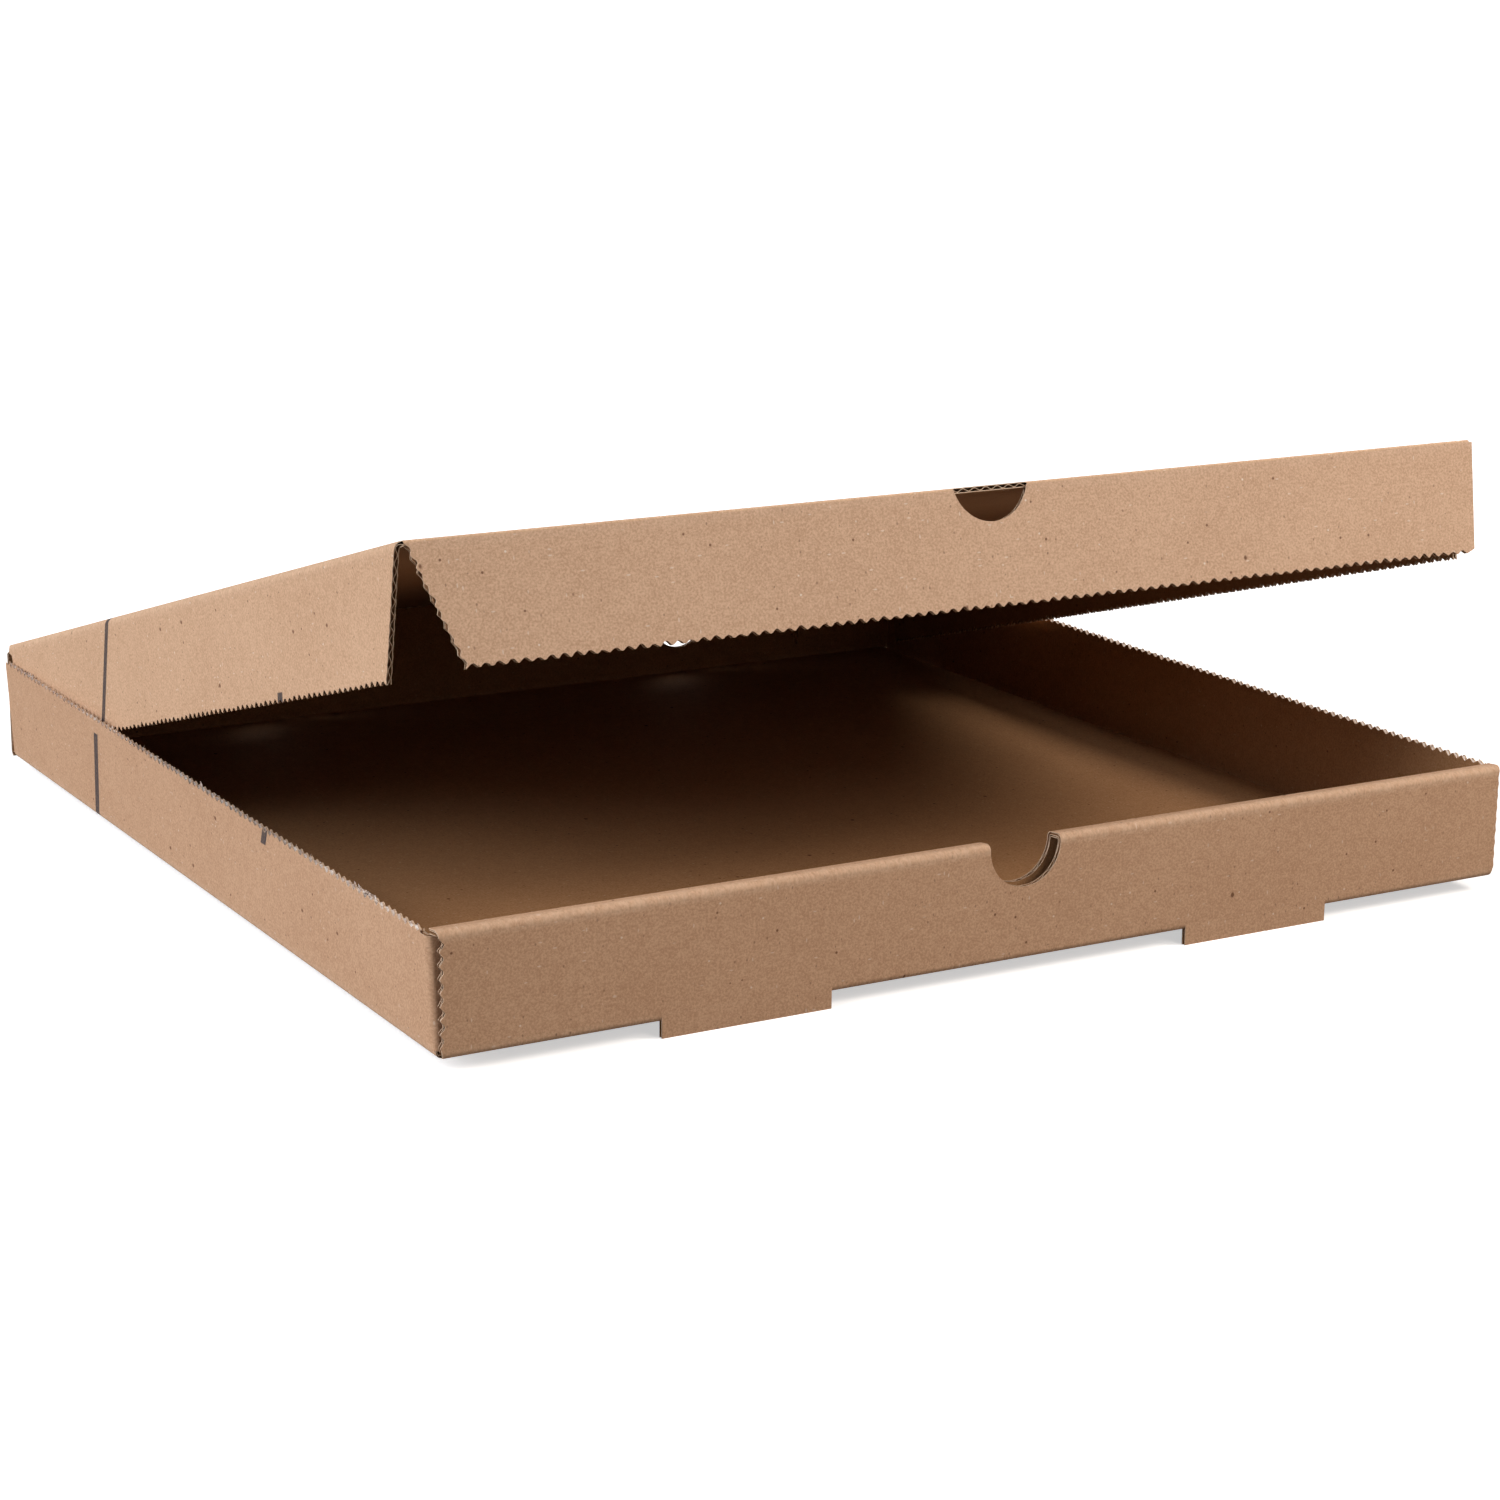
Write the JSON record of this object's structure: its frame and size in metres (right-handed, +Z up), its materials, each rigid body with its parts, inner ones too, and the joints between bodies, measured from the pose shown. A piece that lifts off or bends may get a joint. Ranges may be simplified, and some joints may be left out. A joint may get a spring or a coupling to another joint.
{
  "type": "corrugated pizza box",
  "caption": "Flat square box folded from corrugated board: shallow tray with a rolled front wall, hinged lid with tucked side flaps and a front flap, thumb notches and steam vents.",
  "frame": {"origin": "middle of the flat underside of the tray, at the level of its lower face; the two feet of the front wall reach below it", "axes": "+Z up, -Y to the front wall with the thumb notch, +Y to the back wall that carries the lid, +X to the right seen from the front"},
  "size_m": [0.303, 0.3, 0.1157],
  "materials": {
    "tray_board": "plain brown kraft liner, matt",
    "lid_board": "plain brown kraft liner, matt",
    "flap_board": "plain brown kraft liner, matt"
  },
  "bodies": {
    "tray_body": {"tray": "tray_board"},
    "lid_body": {"lid": "lid_board"},
    "front_flap_body": {"front_flap": "flap_board"}
  },
  "joints": [
    {"name": "lid_hinge", "type": "hinge", "parent": "tray_body", "child": "lid_body", "pos_m": [0, 0.14935, 0.0322], "axis": [-1, 0, 0], "range_deg": [-15.9, 164.3]},
    {"name": "front_flap_hinge", "type": "hinge", "parent": "lid_body", "child": "front_flap_body", "pos_m": [0, -0.13147, 0.11113], "axis": [-1, 0, 0], "range_deg": [-13, 91.5]}
  ]
}
